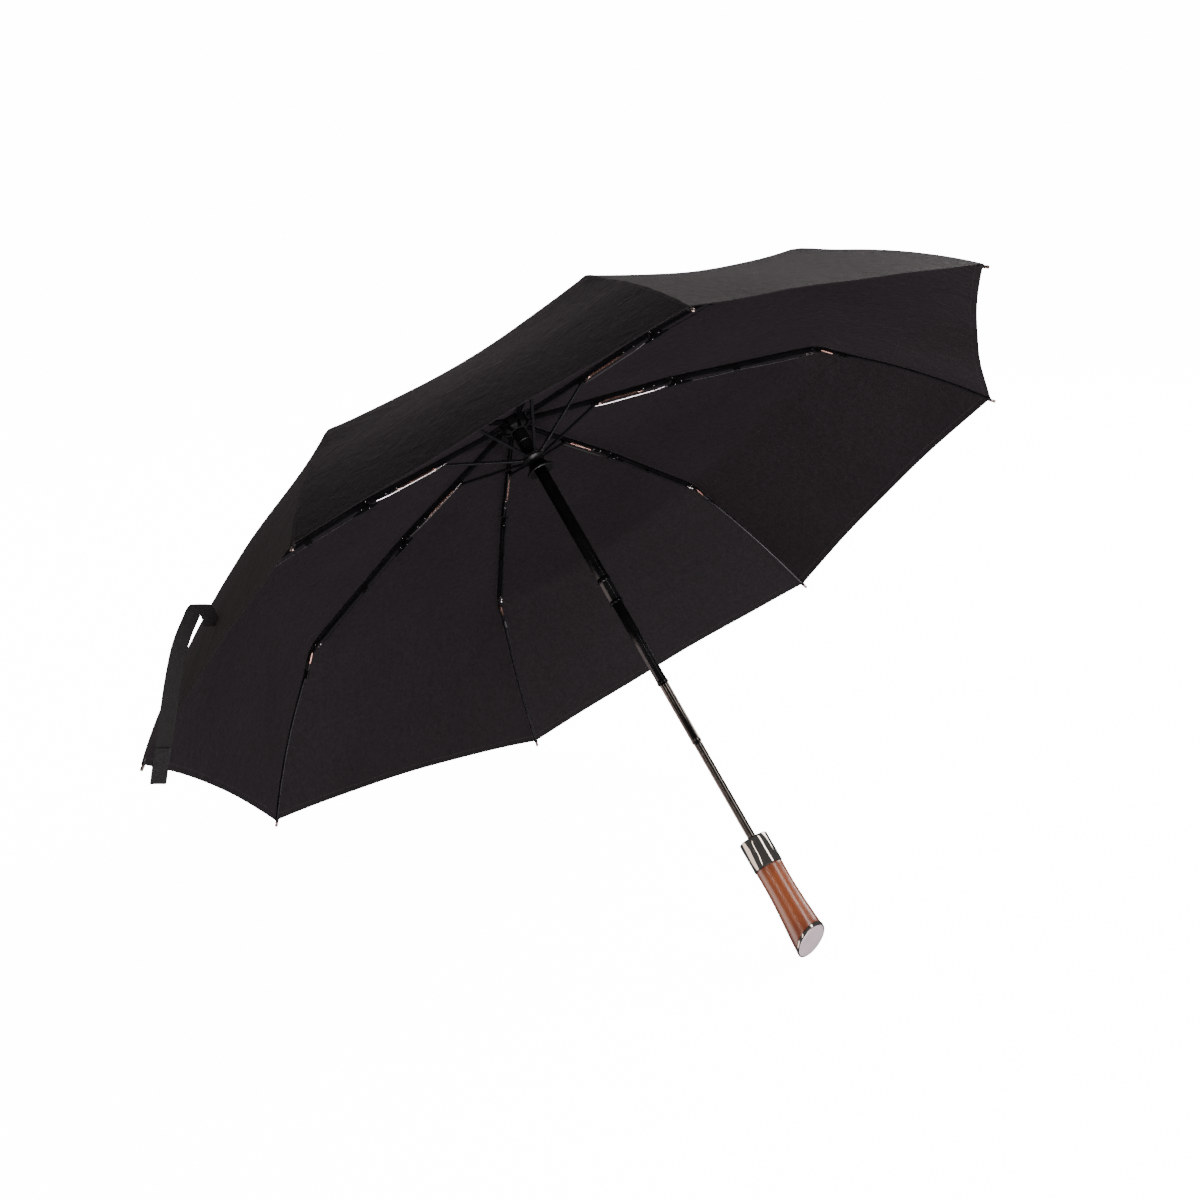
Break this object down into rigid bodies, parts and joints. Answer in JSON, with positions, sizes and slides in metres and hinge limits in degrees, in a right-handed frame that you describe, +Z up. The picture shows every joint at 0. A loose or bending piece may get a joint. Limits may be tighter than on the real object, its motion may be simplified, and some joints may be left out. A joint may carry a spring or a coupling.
{
  "type": "folding umbrella",
  "caption": "Compact folding umbrella, open: three-section ribs, telescopic shaft, dark cloth canopy, flared wooden grip with a push button.",
  "frame": {"origin": "bottom centre of the open umbrella as it lies on the floor, on two rib tips and the end of the grip", "axes": "+Z up from the floor; the shaft leans towards +Y, its crown high and its grip low; X across the canopy"},
  "size_m": [0.9304, 0.6548, 0.6454],
  "materials": {
    "black_cloth": "fine plain weave, matt with a faint sheen",
    "webbing": "woven, matt",
    "hook_patch": "hook-and-loop pile",
    "black_paint": "semi-gloss black paint",
    "black_plastic": "fine satin moulding",
    "silver_wire": "bright drawn wire",
    "dark_tube": "black electroplated, glossy",
    "gunmetal": "dark nickel plated tube",
    "dark_chrome": "polished gunmetal plating",
    "lacquered_wood": "clear gloss lacquer over red-brown stain",
    "brushed_plate": "brushed and clear coated",
    "spring_steel": "plain drawn"
  },
  "bodies": {
    "frame": {"crown": "black_plastic", "washer": "gunmetal", "ferrule": "dark_chrome", "crown_sleeve": "black_plastic", "upper_tube": "dark_tube", "canopy": "black_cloth"},
    "second_tube": {"second_tube": "dark_tube"},
    "third_tube": {"third_tube": "gunmetal"},
    "handle": {"lower_tube": "gunmetal", "main_spring": "spring_steel", "collar": "dark_chrome", "button_spring": "spring_steel", "grip": "lacquered_wood", "cap_ring": "gunmetal", "end_cap": "brushed_plate"},
    "push_button": {"push_button": "dark_chrome"},
    "runner": {"runner": "black_plastic"},
    "strap": {"tie_strap": "webbing", "strap_fastener": "hook_patch"},
    "upper_rib_1": {"upper_rib_1": "black_paint"},
    "middle_rib_1": {"middle_rib_1": "black_paint"},
    "outer_rib_1": {"outer_rib_1": "black_paint"},
    "strut_1": {"strut_1": "black_paint"},
    "link_wire_1": {"link_wire_1": "silver_wire"},
    "upper_rib_2": {"upper_rib_2": "black_paint"},
    "middle_rib_2": {"middle_rib_2": "black_paint"},
    "outer_rib_2": {"outer_rib_2": "black_paint"},
    "strut_2": {"strut_2": "black_paint"},
    "link_wire_2": {"link_wire_2": "silver_wire"},
    "upper_rib_3": {"upper_rib_3": "black_paint"},
    "middle_rib_3": {"middle_rib_3": "black_paint"},
    "outer_rib_3": {"outer_rib_3": "black_paint"},
    "strut_3": {"strut_3": "black_paint"},
    "link_wire_3": {"link_wire_3": "silver_wire"},
    "upper_rib_4": {"upper_rib_4": "black_paint"},
    "middle_rib_4": {"middle_rib_4": "black_paint"},
    "outer_rib_4": {"outer_rib_4": "black_paint"},
    "strut_4": {"strut_4": "black_paint"},
    "link_wire_4": {"link_wire_4": "silver_wire"},
    "upper_rib_5": {"upper_rib_5": "black_paint"},
    "middle_rib_5": {"middle_rib_5": "black_paint"},
    "outer_rib_5": {"outer_rib_5": "black_paint"},
    "strut_5": {"strut_5": "black_paint"},
    "link_wire_5": {"link_wire_5": "silver_wire"},
    "upper_rib_6": {"upper_rib_6": "black_paint"},
    "middle_rib_6": {"middle_rib_6": "black_paint"},
    "outer_rib_6": {"outer_rib_6": "black_paint"},
    "strut_6": {"strut_6": "black_paint"},
    "link_wire_6": {"link_wire_6": "silver_wire"},
    "upper_rib_7": {"upper_rib_7": "black_paint"},
    "middle_rib_7": {"middle_rib_7": "black_paint"},
    "outer_rib_7": {"outer_rib_7": "black_paint"},
    "strut_7": {"strut_7": "black_paint"},
    "link_wire_7": {"link_wire_7": "silver_wire"},
    "upper_rib_8": {"upper_rib_8": "black_paint"},
    "middle_rib_8": {"middle_rib_8": "black_paint"},
    "outer_rib_8": {"outer_rib_8": "black_paint"},
    "strut_8": {"strut_8": "black_paint"},
    "link_wire_8": {"link_wire_8": "silver_wire"}
  },
  "joints": [
    {"name": "canopy_fold", "type": "hinge", "parent": "frame", "child": "upper_rib_1", "pos_m": [0.00057, 0.12887, 0.44758], "axis": [-0.3827, -0.6595, 0.647], "range_deg": [0, 79.73], "deforming": ["canopy", "tie_strap"]},
    {"name": "upper_hinge_2", "type": "hinge", "parent": "frame", "child": "upper_rib_2", "pos_m": [0.00717, 0.13358, 0.44296], "axis": [-0.9239, -0.2732, 0.268], "range_deg": [0, 79.74]},
    {"name": "upper_hinge_3", "type": "hinge", "parent": "frame", "child": "upper_rib_3", "pos_m": [0.01651, 0.13358, 0.44296], "axis": [-0.9239, 0.2732, -0.268], "range_deg": [0, 79.74]},
    {"name": "upper_hinge_4", "type": "hinge", "parent": "frame", "child": "upper_rib_4", "pos_m": [0.02311, 0.12887, 0.44758], "axis": [-0.3827, 0.6595, -0.647], "range_deg": [0, 79.74]},
    {"name": "upper_hinge_5", "type": "hinge", "parent": "frame", "child": "upper_rib_5", "pos_m": [0.02311, 0.1222, 0.45412], "axis": [0.3827, 0.6595, -0.647], "range_deg": [0, 79.74]},
    {"name": "upper_hinge_6", "type": "hinge", "parent": "frame", "child": "upper_rib_6", "pos_m": [0.01651, 0.11749, 0.45875], "axis": [0.9239, 0.2732, -0.268], "range_deg": [0, 79.74]},
    {"name": "upper_hinge_7", "type": "hinge", "parent": "frame", "child": "upper_rib_7", "pos_m": [0.00717, 0.11749, 0.45875], "axis": [0.9239, -0.2732, 0.268], "range_deg": [0, 79.74]},
    {"name": "upper_hinge_8", "type": "hinge", "parent": "frame", "child": "upper_rib_8", "pos_m": [0.00057, 0.1222, 0.45412], "axis": [0.3827, -0.6595, 0.647], "range_deg": [0, 79.74]},
    {"name": "knee_1", "type": "hinge", "parent": "upper_rib_1", "child": "middle_rib_1", "pos_m": [-0.15304, 0.16202, 0.39052], "axis": [-0.3827, -0.6595, 0.647], "range_deg": [-178.08, 0]},
    {"name": "elbow_1", "type": "hinge", "parent": "middle_rib_1", "child": "outer_rib_1", "pos_m": [-0.30358, 0.18286, 0.32272], "axis": [-0.3827, -0.6595, 0.647], "range_deg": [0, 142.74]},
    {"name": "strut_hinge_1", "type": "hinge", "parent": "upper_rib_1", "child": "strut_1", "pos_m": [-0.07046, 0.14122, 0.41817], "axis": [-0.3827, -0.6595, 0.647], "range_deg": [-147.38, 0]},
    {"name": "link_slide_1", "type": "slide", "parent": "upper_rib_1", "child": "link_wire_1", "axis": [-0.9174, 0.1887, -0.3503], "range_m": [0, 0.0111]},
    {"name": "knee_2", "type": "hinge", "parent": "upper_rib_2", "child": "middle_rib_2", "pos_m": [-0.05646, 0.23096, 0.32288], "axis": [-0.9239, -0.2732, 0.268], "range_deg": [-178.08, 0]},
    {"name": "elbow_2", "type": "hinge", "parent": "middle_rib_2", "child": "outer_rib_2", "pos_m": [-0.11882, 0.31476, 0.19332], "axis": [-0.9239, -0.2732, 0.268], "range_deg": [0, 142.74]},
    {"name": "strut_hinge_2", "type": "hinge", "parent": "upper_rib_2", "child": "strut_2", "pos_m": [-0.02225, 0.17564, 0.3844], "axis": [-0.9239, -0.2732, 0.268], "range_deg": [-147.38, 0]},
    {"name": "link_slide_2", "type": "slide", "parent": "upper_rib_2", "child": "link_wire_2", "axis": [-0.38, 0.5724, -0.7266], "range_m": [0, 0.0111]},
    {"name": "knee_3", "type": "hinge", "parent": "upper_rib_3", "child": "middle_rib_3", "pos_m": [0.08013, 0.23096, 0.32288], "axis": [-0.9239, 0.2732, -0.268], "range_deg": [-178.08, 0]},
    {"name": "elbow_3", "type": "hinge", "parent": "middle_rib_3", "child": "outer_rib_3", "pos_m": [0.14249, 0.31476, 0.19332], "axis": [-0.9239, 0.2732, -0.268], "range_deg": [0, 142.74]},
    {"name": "strut_hinge_3", "type": "hinge", "parent": "upper_rib_3", "child": "strut_3", "pos_m": [0.04593, 0.17564, 0.3844], "axis": [-0.9239, 0.2732, -0.268], "range_deg": [-147.38, 0]},
    {"name": "link_slide_3", "type": "slide", "parent": "upper_rib_3", "child": "link_wire_3", "axis": [0.38, 0.5724, -0.7266], "range_m": [0, 0.0111]},
    {"name": "knee_4", "type": "hinge", "parent": "upper_rib_4", "child": "middle_rib_4", "pos_m": [0.17671, 0.16202, 0.39052], "axis": [-0.3827, 0.6595, -0.647], "range_deg": [-178.08, 0]},
    {"name": "elbow_4", "type": "hinge", "parent": "middle_rib_4", "child": "outer_rib_4", "pos_m": [0.32726, 0.18286, 0.32272], "axis": [-0.3827, 0.6595, -0.647], "range_deg": [0, 142.74]},
    {"name": "strut_hinge_4", "type": "hinge", "parent": "upper_rib_4", "child": "strut_4", "pos_m": [0.09414, 0.14122, 0.41817], "axis": [-0.3827, 0.6595, -0.647], "range_deg": [-147.38, 0]},
    {"name": "link_slide_4", "type": "slide", "parent": "upper_rib_4", "child": "link_wire_4", "axis": [0.9174, 0.1887, -0.3503], "range_m": [0, 0.0111]},
    {"name": "knee_5", "type": "hinge", "parent": "upper_rib_5", "child": "middle_rib_5", "pos_m": [0.17671, 0.06452, 0.48618], "axis": [0.3827, 0.6595, -0.647], "range_deg": [-178.08, 0]},
    {"name": "elbow_5", "type": "hinge", "parent": "middle_rib_5", "child": "outer_rib_5", "pos_m": [0.32726, -0.00367, 0.50572], "axis": [0.3827, 0.6595, -0.647], "range_deg": [0, 142.74]},
    {"name": "strut_hinge_5", "type": "hinge", "parent": "upper_rib_5", "child": "strut_5", "pos_m": [0.09414, 0.09255, 0.46591], "axis": [0.3827, 0.6595, -0.647], "range_deg": [-147.38, 0]},
    {"name": "link_slide_5", "type": "slide", "parent": "upper_rib_5", "child": "link_wire_5", "axis": [0.9174, -0.3538, 0.182], "range_m": [0, 0.0111]},
    {"name": "knee_6", "type": "hinge", "parent": "upper_rib_6", "child": "middle_rib_6", "pos_m": [0.08013, -0.00442, 0.55381], "axis": [0.9239, 0.2732, -0.268], "range_deg": [-178.08, 0]},
    {"name": "elbow_6", "type": "hinge", "parent": "middle_rib_6", "child": "outer_rib_6", "pos_m": [0.14249, -0.13556, 0.63511], "axis": [0.9239, 0.2732, -0.268], "range_deg": [0, 142.74]},
    {"name": "strut_hinge_6", "type": "hinge", "parent": "upper_rib_6", "child": "strut_6", "pos_m": [0.04593, 0.05814, 0.49967], "axis": [0.9239, 0.2732, -0.268], "range_deg": [-147.38, 0]},
    {"name": "link_slide_6", "type": "slide", "parent": "upper_rib_6", "child": "link_wire_6", "axis": [0.38, -0.7374, 0.5584], "range_m": [0, 0.0111]},
    {"name": "knee_7", "type": "hinge", "parent": "upper_rib_7", "child": "middle_rib_7", "pos_m": [-0.05646, -0.00442, 0.55381], "axis": [0.9239, -0.2732, 0.268], "range_deg": [-178.08, 0]},
    {"name": "elbow_7", "type": "hinge", "parent": "middle_rib_7", "child": "outer_rib_7", "pos_m": [-0.11882, -0.13556, 0.63511], "axis": [0.9239, -0.2732, 0.268], "range_deg": [0, 142.74]},
    {"name": "strut_hinge_7", "type": "hinge", "parent": "upper_rib_7", "child": "strut_7", "pos_m": [-0.02225, 0.05814, 0.49967], "axis": [0.9239, -0.2732, 0.268], "range_deg": [-147.38, 0]},
    {"name": "link_slide_7", "type": "slide", "parent": "upper_rib_7", "child": "link_wire_7", "axis": [-0.38, -0.7374, 0.5584], "range_m": [0, 0.0111]},
    {"name": "knee_8", "type": "hinge", "parent": "upper_rib_8", "child": "middle_rib_8", "pos_m": [-0.15304, 0.06452, 0.48618], "axis": [0.3827, -0.6595, 0.647], "range_deg": [-178.08, 0]},
    {"name": "elbow_8", "type": "hinge", "parent": "middle_rib_8", "child": "outer_rib_8", "pos_m": [-0.30358, -0.00367, 0.50572], "axis": [0.3827, -0.6595, 0.647], "range_deg": [0, 142.74]},
    {"name": "strut_hinge_8", "type": "hinge", "parent": "upper_rib_8", "child": "strut_8", "pos_m": [-0.07046, 0.09255, 0.46591], "axis": [0.3827, -0.6595, 0.647], "range_deg": [-147.38, 0]},
    {"name": "link_slide_8", "type": "slide", "parent": "upper_rib_8", "child": "link_wire_8", "axis": [-0.9174, -0.3538, 0.182], "range_m": [0, 0.0111]},
    {"name": "runner_slide", "type": "slide", "parent": "frame", "child": "runner", "axis": [0, 0.7003, 0.7138], "range_m": [-0.11985, 0]},
    {"name": "strap_gather", "type": "slide", "parent": "outer_rib_1", "child": "strap", "axis": [0.3827, 0.6595, -0.647], "range_m": [0, 0.1552]},
    {"name": "shaft_collapse", "type": "slide", "parent": "frame", "child": "second_tube", "axis": [0, 0.7003, 0.7138], "range_m": [0, 0.088]},
    {"name": "third_slide", "type": "slide", "parent": "second_tube", "child": "third_tube", "axis": [0, 0.7003, 0.7138], "range_m": [0, 0.0652]},
    {"name": "lower_slide", "type": "slide", "parent": "third_tube", "child": "handle", "axis": [0, 0.7003, 0.7138], "range_m": [0, 0.1052]},
    {"name": "button_press", "type": "slide", "parent": "handle", "child": "push_button", "axis": [0.4289, 0.6448, -0.6326], "range_m": [0, 0.0025], "stiffness_N_per_m": 500, "springref_m": -0.002, "deforming": ["button_spring"]}
  ],
  "couplings": [
    {"joint": "upper_hinge_2", "follows": "canopy_fold", "ratio": 1},
    {"joint": "upper_hinge_3", "follows": "canopy_fold", "ratio": 1},
    {"joint": "upper_hinge_4", "follows": "canopy_fold", "ratio": 1},
    {"joint": "upper_hinge_5", "follows": "canopy_fold", "ratio": 1},
    {"joint": "upper_hinge_6", "follows": "canopy_fold", "ratio": 1},
    {"joint": "upper_hinge_7", "follows": "canopy_fold", "ratio": 1},
    {"joint": "upper_hinge_8", "follows": "canopy_fold", "ratio": 1},
    {"joint": "knee_1", "follows": "canopy_fold", "ratio": -2.2332},
    {"joint": "elbow_1", "follows": "canopy_fold", "ratio": 1.7899},
    {"joint": "strut_hinge_1", "follows": "canopy_fold", "ratio": -1.8482},
    {"joint": "link_slide_1", "follows": "canopy_fold", "m_per_rad": 0.007905},
    {"joint": "knee_2", "follows": "canopy_fold", "ratio": -2.2332},
    {"joint": "elbow_2", "follows": "canopy_fold", "ratio": 1.7899},
    {"joint": "strut_hinge_2", "follows": "canopy_fold", "ratio": -1.8482},
    {"joint": "link_slide_2", "follows": "canopy_fold", "m_per_rad": 0.007905},
    {"joint": "knee_3", "follows": "canopy_fold", "ratio": -2.2332},
    {"joint": "elbow_3", "follows": "canopy_fold", "ratio": 1.7899},
    {"joint": "strut_hinge_3", "follows": "canopy_fold", "ratio": -1.8482},
    {"joint": "link_slide_3", "follows": "canopy_fold", "m_per_rad": 0.007905},
    {"joint": "knee_4", "follows": "canopy_fold", "ratio": -2.2332},
    {"joint": "elbow_4", "follows": "canopy_fold", "ratio": 1.7899},
    {"joint": "strut_hinge_4", "follows": "canopy_fold", "ratio": -1.8482},
    {"joint": "link_slide_4", "follows": "canopy_fold", "m_per_rad": 0.007905},
    {"joint": "knee_5", "follows": "canopy_fold", "ratio": -2.2332},
    {"joint": "elbow_5", "follows": "canopy_fold", "ratio": 1.7899},
    {"joint": "strut_hinge_5", "follows": "canopy_fold", "ratio": -1.8482},
    {"joint": "link_slide_5", "follows": "canopy_fold", "m_per_rad": 0.007905},
    {"joint": "knee_6", "follows": "canopy_fold", "ratio": -2.2332},
    {"joint": "elbow_6", "follows": "canopy_fold", "ratio": 1.7899},
    {"joint": "strut_hinge_6", "follows": "canopy_fold", "ratio": -1.8482},
    {"joint": "link_slide_6", "follows": "canopy_fold", "m_per_rad": 0.007905},
    {"joint": "knee_7", "follows": "canopy_fold", "ratio": -2.2332},
    {"joint": "elbow_7", "follows": "canopy_fold", "ratio": 1.7899},
    {"joint": "strut_hinge_7", "follows": "canopy_fold", "ratio": -1.8482},
    {"joint": "link_slide_7", "follows": "canopy_fold", "m_per_rad": 0.007905},
    {"joint": "knee_8", "follows": "canopy_fold", "ratio": -2.2332},
    {"joint": "elbow_8", "follows": "canopy_fold", "ratio": 1.7899},
    {"joint": "strut_hinge_8", "follows": "canopy_fold", "ratio": -1.8482},
    {"joint": "link_slide_8", "follows": "canopy_fold", "m_per_rad": 0.007905},
    {"joint": "runner_slide", "follows": "canopy_fold", "m_per_rad": -0.085981},
    {"joint": "strap_gather", "follows": "canopy_fold", "m_per_rad": 0.11138},
    {"joint": "third_slide", "follows": "shaft_collapse", "ratio": 0.73864},
    {"joint": "lower_slide", "follows": "shaft_collapse", "ratio": 1.1932}
  ]
}
